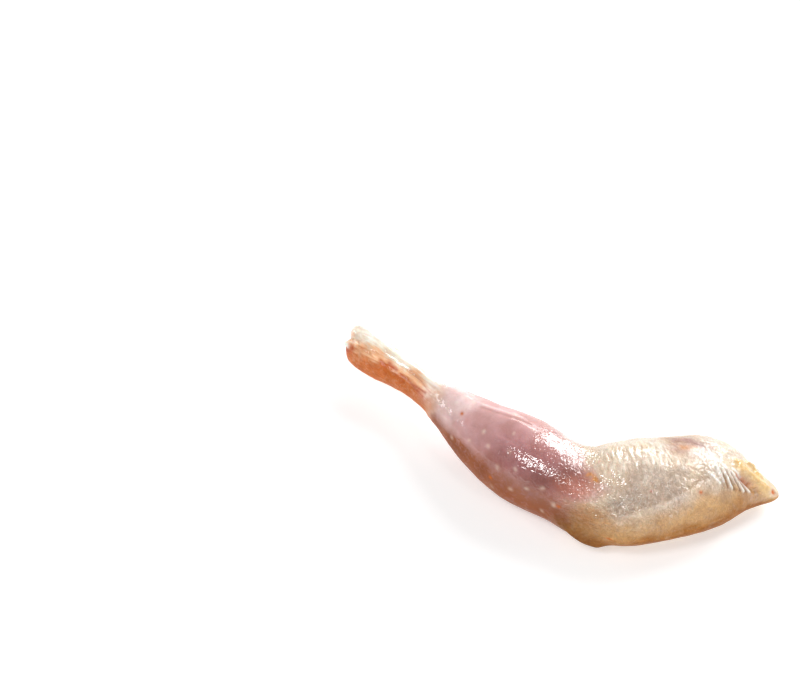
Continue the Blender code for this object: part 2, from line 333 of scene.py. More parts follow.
# Where the drumstick's colour gives way to the thigh's: degrees round, the distance along there,
# and the width of the border before and after it.
KNEE_TURNS = (0, 50, 70, 90, 107, 126, 144, 163, 185, 240, 300, 360)
KNEE_PLACES = (52, 53.8, 56.6, 59.2, 60.8, 59.6, 57.4, 56.2, 55.8, 57, 55, 52)
KNEE_BORDER = (-3.0, 3.4)

# Where colours change round the leg: the degrees where each change begins and is complete.
# On the back, which the lamps behind light most, the colour is darkened as painted shade and tan is
# laid on as painted shade; these give where that begins and is complete.
BACK_SHADE = (64, 22)
BACK_TAN_SHADE = (64, 25)
BELOW_BACK = (320, 350)
CALF_BROWN = (132, 176)
CALF_BROWN_ENDS = (215, 262)
TAN = (122, 168)
TAN_THINS = (215, 270)
AMBER = (160, 186)
AMBER_ENDS = (204, 236)
DRY = (132, 184)
DRY_ENDS = (300, 345)
SHANK_DRY = (92, 128)
SHANK_PEACH = (92, 136)
SHANK_ORANGE = (116, 146)
SHANK_ORANGE_THINS = (215, 260)
SHANK_ORANGE_ENDS = (300, 345)
# And where they change along it.
CALF_SWELLS = (40, 48)
KNEE_TO_THIGH = (70, 62)
BAND_BEGINS = (62, 67)
BAND_THINS = (75, 80)
# How many degrees further up the brown and the dry skin begin before the calf swells, how many
# further down the amber begins next to the knee, and how many further up the peach begins with
# each millimetre along the shank.
BROWN_SHIFT = 4
DRY_SHIFT = 16
AMBER_SHIFT = 12
PEACH_RISE = 0.9
# How much of the tan and of the shank's orange is left underneath, and of the band on the thigh's
# far half.
TAN_LEFT = 0.5
ORANGE_LEFT = 0.65
BAND_LEFT = 0.4
# How much tan the back has as painted shade and how much the blotches have, and how dry the shank's
# top is.
BACK_TAN_SHADE_SHARE = 0.7
BLOTCH_TAN_SHARE = 0.25
SHANK_TOP_DRY = 0.28
# Added to the flecks that the gold at the knee is broken up by.
GOLD_FLECKS = 0.4
# The light patches, paler skin with a painted highlight at the hip's shine, may add up to this.
LIGHT_MAX = 1.5
# The pleats' painted highlights are broken up by flecks: their share, and what is added.
PLEAT_HIGHLIGHT_FLECKS = (0.5, 1.1)
# How much beads of fat take off the thigh's own marks, and the shank off the pits.
BEAD_COVERS = 0.8
SHANK_COVERS = 0.8
# Streaks along the shank: each noise's strength and size, and how many degrees it moves a border.
STREAKS = ((1.0, (3.0, 0.55, 0.55)), (0.6, (1.4, 0.3, 0.3)))
STREAK_SHIFT = 14

# Dabs of paint: how strong, the half-width, the path, and whether the edge is ragged. A strength
# below zero takes paint off again.
Dab = namedtuple("Dab", "strength width path ragged", defaults=(False,))
HOLE = FINE_RELIEF["hole at the tip"].path
DABS = {
    # Painted shade on the drumstick's lower side towards the knee.
    "calf_shade": (
        Dab(1.0, 8.0, ((47, 130), (58, 118))),
        Dab(0.5, 5.0, ((50, 150), (57, 150))),
    ),
    "pale": (
        Dab(1.0, 3.0, ((22, 97), (30.0, 85)), True),
        # A painted highlight: the thin pale line along the calf's ridge.
        Dab(0.6, 0.35, ((34.0, 76), (38.5, 72), (42.5, 68))),
        Dab(0.8, 3.0, ((23, 110), (29, 118)), True),
        Dab(0.25, 3.6, ((30, 70), (38, 64), (46, 54)), True),
        Dab(0.2, 2.0, ((40, 46), (55, 44))),
        # Partly paler skin, partly a painted highlight, at the back of the knee.
        Dab(0.9, 3.2, ((54, 44), (57.5, 72)), True),
    ),
    # This brown is partly the skin's own colour and partly painted shade.
    "brown_and_shade": (Dab(0.4, 3.0, ((57.0, 166), (60.5, 160))),),
    # Painted shade just before the knee.
    "knee_fold_shade": (Dab(1.0, 2.4, ((50.5, 150), (55.0, 126), (57.4, 104))),),
    "knee": (
        Dab(1.0, 2.2, ((57.6, 128), (60.4, 114)), True),
        Dab(0.25, 2.6, ((57, 142), (59, 150)), True),
    ),
    "flecked gold": (Dab(1.3, 0.7, ((60.0, 97), (61.4, 102)), True),),
    "gold": (
        Dab(0.7, 0.8, ((79.8, 69), (82.0, 72)), True),
        Dab(0.6, 0.8, ((93.6, 122), (96.4, 128))),
    ),
    "light": (
        Dab(1.0, 3.4, ((59.5, 86), (63.0, 95), (69.0, 92), (72.5, 90)), True),
        # A painted highlight on the hip's shine, on paler skin.
        Dab(1.2, 2.0, ((82.6, 76), (84.4, 88), (84.4, 100))),
    ),
    "band": (
        Dab(1.0, 3.6, ((64.4, 135), (69.0, 125), (73.7, 123), (78.6, 117), (83.1, 109)), True),
        Dab(0.7, 2.6, ((69.6, 98), (75.1, 105), (81.4, 101)), True),
    ),
    "shade": (
        Dab(1.0, 1.7, ((64.8, 133), (66.6, 129), (69.0, 127)), True),
        Dab(0.6, 2.4, ((82.6, 120), (86.0, 136)), True),
    ),
    "tan": (
        Dab(0.25, 2.5, ((62.4, 102), (66.6, 110)), True),
        Dab(0.8, 3.6, ((81.0, 143), (87.0, 146), (91.0, 138), (96.0, 134)), True),
    ),
    # Amber at the hip's lower edge, partly painted shade.
    "amber_and_shade": (Dab(0.5, 3.2, ((90, 162), (96, 160))),),
    "dry": (
        Dab(0.75, 3.0, ((63.5, 138), (70.0, 126))),
        Dab(0.3, 2.4, ((60.0, 98), (60.6, 114))),
        Dab(0.7, 5.0, ((32.0, 62), (44.0, 58))),
        Dab(0.42, 3.0, ((33.0, 72), (40.0, 67), (45.0, 58))),
        Dab(0.7, 2.6, ((78.5, 46), (83.0, 56))),
        Dab(0.8, 2.4, ((78.8, 70), (81.0, 67))),
        Dab(0.6, 2.4, ((74.5, 82), (79.0, 84))),
        Dab(0.7, 3.2, ((79.0, 140), (89.0, 150))),
    ),
    "purple": (
        Dab(1.0, 2.0, ((79.5, 48), (82.0, 57), (84.0, 68)), True),
        Dab(0.8, 1.8, ((77.5, 70), (80.5, 71)), True),
        Dab(0.6, 1.1, ((61.6, 109), (63.6, 112)), True),
    ),
    "collar": (Dab(1.0, 2.0, ((22.6, 60), (22.4, 100), (22.6, 126)), True),),
    "lobe": (Dab(1.0, 2.2, ((58.4, 184), (60.0, 194), (62.5, 204))),),
    "cut rim": (
        Dab(1.0, 0.8, ((0.0, 55), (0.2, 112)), True),
        Dab(0.15, 1.6, ((1.0, 66), (1.6, 104)), True),
    ),
    "orange": (
        Dab(0.5, 1.0, ((10.0, 133), (16.0, 134))),
        Dab(0.6, 0.8, ((12.0, 123), (14.2, 127))),
        Dab(-0.35, 1.4, ((3, 132), (8, 126), (13, 122)), True),
        Dab(-0.7, 1.1, ((13.5, 118), (19.5, 118))),
    ),
    "blood": (
        Dab(1.0, 0.4, ((11.2, 119), (13.2, 124)), True),
        Dab(0.6, 0.4, ((9.6, 128), (10.8, 133)), True),
        Dab(0.6, 0.22, ((15.0, 97), (19.0, 104), (21.0, 114), (22.4, 116))),
        Dab(0.9, 0.26, ((14.6, 129), (18.2, 134), (19.4, 131.5), (21.6, 129))),
        Dab(0.9, 0.26, ((18.6, 138), (20.1, 142), (21.6, 145))),
        Dab(0.4, 0.20, ((12.4, 138), (16.0, 144))),
        Dab(1.0, 0.9, ((0.8, 152), (1.6, 142)), True),
        Dab(0.6, 1.5, ((0.0, 200), (0.5, 260)), True),
        Dab(0.35, 0.8, ((33.2, 111), (33.6, 117)), True),
        Dab(1.0, 0.28, ((71.0, 117), (71.1, 117))),
    ),
    "hole": (Dab(1.0, 0.46, HOLE),),
    "nub": (
        Dab(1.0, 0.45, ((0.0, 134), (0.7, 138))),
        Dab(0.9, 0.75, HOLE),
        Dab(-0.9, 0.46, HOLE),
    ),
    "bead": (
        Dab(1.0, 1.1, RELIEF["fat ridge"].path),
        Dab(1.0, 0.9, RELIEF["fat lump, first"].path),
        Dab(1.0, 0.9, RELIEF["fat lump, second"].path),
        Dab(1.0, 0.9, RELIEF["fat lump, third"].path),
        Dab(0.7, 2.0, ((95, 70), (97, 120))),
    ),
    # Painted highlights on the short pleats.
    "short pleat highlights": tuple(Dab(0.8, 0.20, FINE_RELIEF[name].path) for name in SHORT_PLEATS),
    # A painted highlight on the hip's shine.
    "hip highlight": (Dab(0.22, 1.8, ((82.2, 78), (84.4, 88), (85.2, 100))),),
    "flush": (Dab(1.0, 0.7, ((88.8, 112), (90.2, 116), (92.2, 123)), True),),
}
# The painted highlight on each fold: where along it this begins and ends, and its strength.
PLEAT_HIGHLIGHTS = ((0.0, 0.7, 0.7), (0.0, 1.0, 1.0), (0.0, 0.6, 0.6), (0.0, 1.0, 1.0), (0.2, 0.9, 0.8))
PLEAT_HIGHLIGHT_WIDTH = 0.27
FURROW_SHADE_WIDTH = 0.28
# Small orange dots: distance along and degrees round.
SPECKS = (
    (31.6, 111), (43.8, 170), (56.8, 160), (64.2, 180), (80.0, 128), (37, 300), (70, 280),
)
SPECK_WIDTH = 0.33
SPECK_LENGTH = 0.05


# Where each point of the skin is: distance along, angle round, the mean radius there, and its
# place on the leg if that were straight, in millimetres.
Skin = namedtuple("Skin", "places angles radius place")


def smooth(x):
    """Ease from 0 to 1 as x goes from 0 to 1."""
    x = np.clip(x, 0.0, 1.0)
    return x * x * (3.0 - 2.0 * x)


def between(x, start, end):
    """Ease from 0 at start to 1 at end."""
    return smooth((x - start) / (end - start))


def spline(knots, values, at):
    """Natural cubic spline through one row of values for each knot, read at the places given."""
    count = len(knots)
    step = np.diff(knots)
    slope = np.diff(values, axis=0) / step[:, None]
    matrix = np.eye(count)
    right = np.zeros_like(values)
    for i in range(1, count - 1):
        matrix[i, i - 1:i + 2] = step[i - 1], 2 * (step[i - 1] + step[i]), step[i]
        right[i] = 6 * (slope[i] - slope[i - 1])
    bend = np.linalg.solve(matrix, right)
    i = np.clip(np.searchsorted(knots, at) - 1, 0, count - 2)
    a = ((knots[i + 1] - at) / step[i])[:, None]
    b = 1.0 - a
    curve = ((a**3 - a) * bend[i] + (b**3 - b) * bend[i + 1]) * (step[i]**2)[:, None] / 6
    return a * values[i] + b * values[i + 1] + curve


def ring_places(length):
    """Distances of the rings from the hock end: round both caps, and closer over the folds."""
    turn = np.arange(1, CAP_RINGS + 1) / CAP_RINGS * math.pi / 2
    hock = HOCK_CAP * (1 - np.cos(turn)**(2 / HOCK_BLUNTNESS))
    hip = length - HIP_CAP * (1 - np.cos(turn)**(2 / HIP_BLUNTNESS))
    fine = np.linspace(HOCK_CAP, length - HIP_CAP, LENGTH_SAMPLES)
    density = 1 + (CLOSE_FACTOR - 1) * smooth((fine - CLOSE_FROM) / CLOSE_EASE)
    share = np.concatenate([[0.0], np.cumsum(density[1:])])
    body = np.interp(np.linspace(0, share[-1], BODY_RINGS + 2)[1:-1], share, fine)
    return np.concatenate([hock, body, hip[::-1]])


def cap_size(places, length):
    """How large each section is, from 1 on the body down to 0 at the very ends."""
    into_hock = np.clip(1 - places / HOCK_CAP, 0, 1)
    into_hip = np.clip(1 - (length - places) / HIP_CAP, 0, 1)
    hock = (1 - into_hock**HOCK_BLUNTNESS)**(1 / HOCK_BLUNTNESS)
    hip = (1 - into_hip**HIP_BLUNTNESS)**(1 / HIP_BLUNTNESS)
    return hock * hip


def fold_strokes():
    """The folds at the hip end, spread evenly from the first to the last."""
    strokes = []
    for share in np.linspace(0, 1, FOLD_COUNT):
        path = (1 - share) * np.array(FIRST_FOLD) + share * np.array(LAST_FOLD)
        strokes.append(Stroke(FOLD_WIDTH, FOLD_HEIGHT, path))
    return strokes


def near(skin, width, path):
    """1 on a path of (distance, degrees) and falling off beside it, as far as its half-width."""
    nearest = np.full((len(skin.places), len(skin.angles)), np.inf)
    for (start, start_turn), (end, end_turn) in zip(path, path[1:]):
        start_angle = math.radians(start_turn)
        end_angle = math.radians(end_turn)
        middle = (start_angle + end_angle) / 2
        angle = (skin.angles[None, :] - middle + math.pi) % (2 * math.pi) - math.pi + middle
        along = skin.places[:, None] - start
        around = (angle - start_angle) * skin.radius
        run = end - start
        rise = (end_angle - start_angle) * skin.radius
        share = np.clip((along * run + around * rise) / (run**2 + rise**2), 0, 1)
        nearest = np.minimum(nearest, (along - share * run)**2 + (around - share * rise)**2)
    return np.exp(-nearest / width**2)


def collar_relief(places, angles):
    """The step where the drumstick's thick skin begins, which dies away up the calf."""
    past = places[:, None] - collar_edge(angles)[None, :]
    fading = 1 - smooth((past - COLLAR_FLAT) / COLLAR_FADE)
    return COLLAR_HEIGHT * smooth(past / COLLAR_EDGE) * fading


def collar_edge(angles):
    """How far along the leg the thick skin begins, all the way round."""
    edge = np.full_like(angles, COLLAR_PLACE)
    for height, count, phase in COLLAR_WAVES:
        edge += height * np.sin(count * angles + phase)
    return edge


def swell(points):
    """Slow waves in several directions, for the unevenness of flesh."""
    draw = np.random.default_rng(SEEDS["swell"])
    total = np.zeros(points.shape[:-1])
    for wavelength in SWELL_LENGTHS:
        height = SWELL_HEIGHT * wavelength / SWELL_LENGTHS[0]
        for _ in range(SWELL_WAVES):
            way = draw.normal(size=3)
            way /= np.linalg.norm(way)
            phase = draw.uniform(0, 2 * math.pi)
            total += height * np.sin(points @ way * (2 * math.pi / wavelength) + phase)
    return total


def outward_normals(points):
    """Unit normals of the rings, pointing out of the leg."""
    along = np.gradient(points, axis=0)
    around = np.roll(points, -1, axis=1) - np.roll(points, 1, axis=1)
    normals = np.cross(around, along)
    return normals / np.maximum(np.linalg.norm(normals, axis=-1, keepdims=True), 1e-9)


def press_on_table(height):
    """Flatten what would reach below the table, with a soft turn into the flat."""
    soft = (height + PRESS)**2 / (4 * PRESS)
    return np.where(height < -PRESS, 0.0, np.where(height < PRESS, soft, height))


def noise(points, seed):
    """Smooth noise from about -1 to 1, with one lump to each unit of length."""
    draw = np.random.default_rng(seed)
    order = np.tile(draw.permutation(NOISE_TABLE), 2)
    slopes = draw.normal(size=(NOISE_TABLE, 3))
    slopes /= np.linalg.norm(slopes, axis=1, keepdims=True)
    cell = np.floor(points).astype(int)
    within = points - cell
    ease = within**3 * (within * (within * 6 - 15) + 10)
    total = np.zeros(points.shape[:-1])
    for corner in itertools.product((0, 1), repeat=3):
        corner = np.array(corner)
        at = (cell + corner) % NOISE_TABLE
        slope = slopes[order[order[order[at[..., 0]] + at[..., 1]] + at[..., 2]]]
        weight = np.prod(np.where(corner == 1, ease, 1 - ease), axis=-1)
        total += weight * ((within - corner) * slope).sum(axis=-1)
    return total * NOISE_GAIN


def pit_places():
    """Feather pits: those the photograph shows, and a staggered grid where it shows none."""
    pits = list(PITS)
    draw = np.random.default_rng(SEEDS["hidden pits"])
    step = math.degrees(HIDDEN_PIT_STEP / HIDDEN_PIT_RADIUS)
    first_turn, last_turn = HIDDEN_PIT_TURNS
    for row, place in enumerate(np.arange(*HIDDEN_PIT_PLACES, HIDDEN_PIT_STEP * HIDDEN_PIT_ROW)):
        for turn in np.arange(first_turn + (row % 2) * step / 2, last_turn, step):
            shift = draw.uniform(-HIDDEN_PIT_SHIFT, HIDDEN_PIT_SHIFT, 2)
            pits.append((place + shift[0], turn + math.degrees(shift[1] / HIDDEN_PIT_RADIUS)))
    return pits


def pit_mask(skin):
    """How much each point is part of a feather pit; some pits are fainter than others."""
    mask = np.zeros(skin.place.shape[:-1])
    draw = np.random.default_rng(SEEDS["pits"])
    for place, turn in pit_places():
        long = draw.uniform(*PIT_LONG)
        path = ((place - long, turn), (place + long, turn + draw.uniform(*PIT_TILT)))
        width = draw.uniform(*PIT_WIDTH)
        strength = draw.uniform(*PIT_STRENGTH)
        mask = np.maximum(mask, strength * near(skin, width, path))
    return mask


def crumple(place, crinkle, seed):
    """Noise with bent lumps of the crinkle's size."""
    waves = place / CRINKLE_BEND_LENGTH
    bend = np.stack([noise(waves, seed + extra) for extra in BEND_SEEDS], axis=-1)
    size = np.array([crinkle.along, crinkle.around, crinkle.around])
    turned = np.array(Matrix.Rotation(NOISE_TURN, 3, Vector(NOISE_AXIS)))
    lumps = (place + crinkle.bend * bend) / size @ turned
    finer = noise(lumps * CRINKLE_FINER, seed + FINER_SEED)
    return noise(lumps, seed) + CRINKLE_FINER_SHARE * finer


def fine_relief(skin):
    """Height of what is finer than the solid's own form, and of the creases finer than the mesh."""
    height = LUMP_HEIGHT * noise(skin.place / LUMP_SIZE, SEEDS["lumps"])
    height += LUMP_HEIGHT / 2 * noise(skin.place / (LUMP_SIZE / 2), SEEDS["lumps"] + 1)
    creased = np.zeros_like(height)
    for seed, crinkle in enumerate(CRINKLES.values(), start=SEEDS["crinkles"]):
        where = near(skin, crinkle.width, crinkle.path)
        height += crinkle.height * where * crumple(skin.place, crinkle, seed)
        creased += crinkle.fine * where
    for stroke in FINE_RELIEF.values():
        height += stroke.height * near(skin, stroke.width, stroke.path)
    height += PIT_HEIGHT * pit_mask(skin)
    return height, creased


def skin_surface():
    """Rings of points round the leg, the points that close its ends, where each point is, and the
    masks that come from its relief."""
    table = np.array(list(SECTIONS.values()))
    steps = np.linalg.norm(np.diff(table[:, :2], axis=0), axis=1)
    knots = np.concatenate([[0.0], np.cumsum(steps)])
    length = knots[-1]
    places = ring_places(length)
    rows = spline(knots, table, places)
    before = spline(knots, table[:, :2], places - HEADING_STEP)
    heading = spline(knots, table[:, :2], places + HEADING_STEP) - before
    heading /= np.linalg.norm(heading, axis=1, keepdims=True)
    across = np.stack([-heading[:, 1], heading[:, 0]], axis=1)

    even = np.arange(SIDES) / SIDES * 2 * math.pi
    angles = even + TOP_BIAS * np.cos(even)
    size = cap_size(places, length)[:, None]
    x, y, z, back, front, up, down = rows.T[..., None]
    sideways = np.where(np.cos(angles) > 0, back, front) * np.cos(angles) * size
    upwards = np.where(np.sin(angles) > 0, up, down) * np.sin(angles) * size
    lean = HOCK_SLANT * smooth(1 - places / HOCK_SLANT_REACH)[:, None] * sideways
    points = np.stack([
        x + across[:, :1] * sideways + heading[:, :1] * lean,
        y + across[:, 1:] * sideways + heading[:, 1:] * lean,
        z + upwards,
    ], axis=-1)

    radius = rows[:, 3:7].mean(axis=1)[:, None]
    straight = np.stack(np.broadcast_arrays(places[:, None], sideways, upwards), axis=-1)
    skin = Skin(places, angles, radius, straight)
    relief = collar_relief(places, angles) + swell(points)
    for stroke in list(RELIEF.values()) + fold_strokes():
        relief += stroke.height * near(skin, stroke.width, stroke.path)
    fine, creased = fine_relief(skin)
    relief += fine
    points += outward_normals(points) * (relief * np.clip(RELIEF_FADE * size, 0, 1))[..., None]
    points[..., 2] = press_on_table(points[..., 2])
    ends = spline(knots, table[:, :3], np.array([0.0, length]))
    # The rise mask paints shade into the fine relief's hollows and light onto its lumps.
    masks = {"rise": np.clip(0.5 + fine / RELIEF_SHADE_RANGE, 0, 1), "creased": creased * CREASE_UNIT}
    return points, ends, skin, masks


# ----------------------------------------------- paint masks


def waver(place, seed):
    """How far the borders between colours wander, in millimetres."""
    total = np.zeros(place.shape[:-1])
    for count, (height, size) in enumerate(WAVER):
        total += height * noise(place / size, seed + count)
    return total


def strands(place):
    """Noise in long thin streaks, for the tendons under the shank's skin."""
    total = np.zeros(place.shape[:-1])
    for count, (strength, size) in enumerate(STREAKS):
        total += strength * noise(place / np.array(size), SEEDS["streak"] + count)
    return total


def paint(skin):
    """A mask for each colour layer, from 0 to 1 at every point, and some for the material."""
    warp = waver(skin.place, SEEDS["warp"])
    drift = waver(skin.place, SEEDS["drift"])
    s = skin.places[:, None] + warp
    turn = (np.degrees(skin.angles)[None, :] + np.degrees(drift / skin.radius)) % 360
    blotch = noise(skin.place / BLOTCH_SIZE, SEEDS["blotch"])
    fleck = noise(skin.place / FLECK_SIZE, SEEDS["fleck"])
    ragged = 1 + RAGGED[0] * blotch + RAGGED[1] * fleck

    def dabs(name):
        """The dabs of that name, added up."""
        total = np.zeros_like(s)
        for dab in DABS[name]:
            mask = near(skin, dab.width, dab.path)
            if dab.ragged:
                mask = np.clip(mask * ragged, 0, 1)
            total += dab.strength * mask
        return total

    def full(mask):
        """The mask, kept from 0 to 1."""
        return np.clip(mask, 0, 1)

    # The leg's three parts: shank, drumstick and thigh.
    past_collar = s - COLLAR_STEADY * warp - collar_edge(skin.angles)[None, :]
    knee = np.interp(turn, KNEE_TURNS, KNEE_PLACES)
    past_knee = s - knee + KNEE_RAGGED[0] * blotch + KNEE_RAGGED[1] * fleck
    calf = between(past_collar + COLLAR_RAGGED * blotch, *COLLAR_BORDER)
    thigh = between(past_knee, *KNEE_BORDER)
    drum = calf * (1 - thigh)
    shank = 1 - calf

    masks = {"mauve": 1 - thigh, "shank": shank}
    # Painted shade on the back, which the lamps behind light most.
    masks["back"] = between(turn, *BACK_SHADE) + between(turn, *BELOW_BACK)
    for name in ("knee_fold_shade", "collar", "lobe", "flush", "hole", "nub"):
        masks[name] = dabs(name)
    for name in ("purple", "blood", "bead"):
        masks[name] = full(dabs(name))

    # Drumstick and knee.
    slim = 1 - between(s, *CALF_SWELLS)
    # The drumstick's lower edge: the skin's own brown, darkened further as painted shade.
    brown_and_shade = between(turn + BROWN_SHIFT * slim, *CALF_BROWN) * (1 - between(turn, *CALF_BROWN_ENDS))
    masks["brown_and_shade"] = full(drum * brown_and_shade + dabs("brown_and_shade"))
    # Painted shade on the drumstick's lower side towards the knee.
    masks["calf_shade"] = drum * full(dabs("calf_shade"))
    # Pale skin on the drumstick, with painted highlights on the calf's ridge and behind the knee.
    masks["pale"] = drum * full(dabs("pale"))
    masks["knee"] = full(dabs("knee")) * (1 - masks["brown_and_shade"])
    masks["gold"] = full(dabs("flecked gold") * (GOLD_FLECKS + fleck) + dabs("gold"))

    # Thigh.
    # Paler skin on the thigh, with a painted highlight at the hip's shine.
    masks["light"] = thigh * np.clip(dabs("light"), 0, LIGHT_MAX)
    middle = between(s, *BAND_BEGINS) * (1 - (1 - BAND_LEFT) * between(s, *BAND_THINS))
    masks["band"] = thigh * middle * full(dabs("band"))
    masks["shade"] = thigh * dabs("shade")
    tan = between(turn, *TAN) * (1 - (1 - TAN_LEFT) * between(turn, *TAN_THINS))
    # Tan on the back is painted shade, where the lamps behind light most.
    tan += BACK_TAN_SHADE_SHARE * (between(turn, *BACK_TAN_SHADE) + between(turn, *BELOW_BACK))
    masks["tan"] = thigh * full(tan + dabs("tan") + BLOTCH_TAN_SHARE * full(blotch))
    # The thigh's lower edge: the skin's amber, darkened further as painted shade.
    amber_and_shade = between(turn - AMBER_SHIFT * between(s, *KNEE_TO_THIGH), *AMBER)
    masks["amber_and_shade"] = thigh * full(amber_and_shade + dabs("amber_and_shade")) * (1 - between(turn, *AMBER_ENDS))

    # Shank.
    lean = turn + STREAK_SHIFT * strands(skin.place)
    peach = shank * between(lean + PEACH_RISE * skin.places[:, None], *SHANK_PEACH)
    masks["peach"] = full(peach + dabs("cut rim")) * (1 - between(turn, *BELOW_BACK))
    orange = between(lean, *SHANK_ORANGE) * (1 - between(turn, *SHANK_ORANGE_ENDS))
    orange *= 1 - (1 - ORANGE_LEFT) * between(turn, *SHANK_ORANGE_THINS)
    masks["orange"] = shank * full(orange + dabs("orange"))

    # Folds at the hip: painted shade in the furrows between them, painted highlights on them.
    folds = [fold.path for fold in fold_strokes()]
    furrows = [near(skin, FURROW_SHADE_WIDTH, (one + two) / 2) for one, two in zip(folds, folds[1:])]
    # Painted shade in the furrows between the folds.
    masks["furrow_shade"] = full(sum(furrows))
    pleat = np.zeros_like(s)
    for (start, end), (first, last, strength) in zip(folds, PLEAT_HIGHLIGHTS):
        shine = ((1 - first) * start + first * end, (1 - last) * start + last * end)
        pleat = np.maximum(pleat, strength * near(skin, PLEAT_HIGHLIGHT_WIDTH, shine))
    for dab in DABS["short pleat highlights"]:
        pleat = np.maximum(pleat, dab.strength * near(skin, dab.width, dab.path))
    # The painted highlight on the hip's shine joins the pleats' painted highlights.
    pleat += dabs("hip highlight")
    masks["pleat"] = full(pleat * (PLEAT_HIGHLIGHT_FLECKS[1] + PLEAT_HIGHLIGHT_FLECKS[0] * fleck))

    # What is dry, where the thigh's own marks show, and the smallest dots.
    dry = between(turn + DRY_SHIFT * slim, *DRY) * (1 - between(turn, *DRY_ENDS))
    dry += shank * (SHANK_TOP_DRY + (1 - SHANK_TOP_DRY) * between(turn, *SHANK_DRY))
    dry = full(dry + dabs("dry"))
    masks["dry"] = full(dry + masks["furrow_shade"] + masks["hole"]) * (1 - masks["pleat"])
    masks["thigh"] = thigh * (1 - BEAD_COVERS * masks["bead"])
    masks["pit"] = pit_mask(skin) * (1 - SHANK_COVERS * shank)
    dots = [((at, angle), (at + SPECK_LENGTH, angle)) for at, angle in SPECKS]
    masks["speck"] = full(sum(near(skin, SPECK_WIDTH, dot) for dot in dots))
    return masks


def skin_mesh():
    """The skin as one closed mesh in metres, where the solid is, with its paint masks."""
    points, ends, skin, relief_masks = skin_surface()
    rings, sides = points.shape[:2]
    vertices = np.concatenate([points.reshape(-1, 3), ends]) * MM
    low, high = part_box(NODE)
    target = (np.array(low) + np.array(high)) / 2
    middle = (vertices.min(axis=0) + vertices.max(axis=0)) / 2
    vertices[:, :2] += (target - middle)[:2]

    hock_pole = rings * sides
    hip_pole = hock_pole + 1
    faces = []
    for j in range(sides):
        k = (j + 1) % sides
        faces.append((hock_pole, k, j))
        faces.append((hip_pole, (rings - 1) * sides + j, (rings - 1) * sides + k))
        for i in range(rings - 1):
            faces.append((i * sides + j, i * sides + k, (i + 1) * sides + k, (i + 1) * sides + j))
    mesh = bpy.data.meshes.new("raw_quail_leg")
    mesh.from_pydata(vertices.tolist(), [], faces)
    mesh.shade_smooth()
    for name, mask in (paint(skin) | relief_masks).items():
        write_attribute(mesh, name, "FLOAT", mask.reshape(-1), (mask[0].mean(), mask[-1].mean()))
    pole_places = ((0.0, 0.0, 0.0), (skin.places[-1], 0.0, 0.0))
    write_attribute(mesh, "place", "FLOAT_VECTOR", skin.place.reshape(-1, 3), pole_places)
    return mesh


def write_attribute(mesh, name, kind, values, at_poles):
    """Store one value for each vertex: the rings' first, then the two poles'."""
    attribute = mesh.attributes.new(name, kind, "POINT")
    both = np.concatenate([values, np.array(at_poles)]).astype(np.float32)
    attribute.data.foreach_set("value" if kind == "FLOAT" else "vector", both.reshape(-1))


# ------------------------------------------------- materials


# Noise in the skin's colour and relief: the lumps' size along and round the leg in millimetres,
# then the noise's detail, roughness and distortion.
Grain = namedtuple("Grain", "along around detail roughness distortion")
GRAINS = {
    "patches": Grain(3.2, 2.8, 3.0, 0.55, 0.6),
    "mottle": Grain(1.1, 1.0, 3.0, 0.6, 0.8),
    "threads": Grain(0.42, 0.48, 2.0, 0.6, 1.2),
    "wrinkles": Grain(1.2, 2.0, 1.0, 0.5, 1.4),
    "highlight_crackle": Grain(1.0, 1.3, 1.0, 0.5, 1.2),
    "strands": Grain(5.0, 0.45, 2.0, 0.6, 0.6),
    "creases": Grain(0.52, 0.58, 0.0, 0.5, 0.8),
}
GRAIN_ROTATION = (0.7, 0.5, 0.9)
# The colour is multiplied by these: the first where a mask or noise is low, the second where it
# is high, with the two values between which it changes.
Tint = namedtuple("Tint", "low high first second")
TINTS = {
    # Painted shade: the back is darkened, since the lamps behind light it most.
    "back": Tint(0.0, 1.0, (1.0, 1.0, 1.0), (0.86, 0.83, 0.79)),
    "patches": Tint(0.30, 0.68, (0.95, 0.94, 0.93), (1.04, 1.05, 1.05)),
    "mottle": Tint(0.32, 0.66, (0.93, 0.91, 0.89), (1.07, 1.09, 1.10)),
    "threads": Tint(0.34, 0.66, (0.90, 0.87, 0.85), (1.09, 1.11, 1.12)),
    # Painted shade along the wrinkle lines.
    "wrinkles": Tint(0.0, 1.0, (1.03, 1.03, 1.03), (0.80, 0.75, 0.71)),
    # Painted highlight dashes: thin lines on the thigh and its band made lighter.
    "highlight_crackle": Tint(0.0, 1.0, (0.96, 0.95, 0.94), (1.24, 1.26, 1.28)),
    "strands": Tint(0.36, 0.64, (0.96, 0.90, 0.85), (1.10, 1.16, 1.20)),
    # Painted shade in the fine relief's hollows and painted light on its lumps.
    "rise": Tint(0.20, 0.80, (0.90, 0.86, 0.83), (1.09, 1.12, 1.14)),
}
# A mask or noise is turned into another by a factor and what is then added.
WARMTH = (2.4, -0.7)
RAGGED_PAINT = (1.2, 0.4)
SPECKLED = (0.5, 0.5)
ON_THIGH = (0.42, 0.08)
ON_BAND = 0.5
WRINKLE_SHARPNESS = 14.0
CRACKLE_SHARPNESS = 12.0
ROUGHNESS = (0.16, 0.16)
DRY_ROUGHNESS = 0.35
DRY_COAT = -0.92
WRINKLE_DEPTH = 0.03
SKIN_SHADER = {
    "Subsurface Weight": 0.25,
    "Subsurface Radius": (1.0, 0.4, 0.25),
    "Subsurface Scale": 0.7 * MM,
    "IOR": 1.45,
    "Specular IOR Level": 0.12,
    "Coat IOR": 1.88,
    "Coat Roughness": 0.05,
}
TABLE_SHADER = {
    "Base Color": (0.80, 0.80, 0.80, 1.0),
    "Emission Color": (1.0, 1.0, 1.0, 1.0),
    "Emission Strength": 0.37,
    "Roughness": 0.9,
    "Specular IOR Level": 0.2,
}


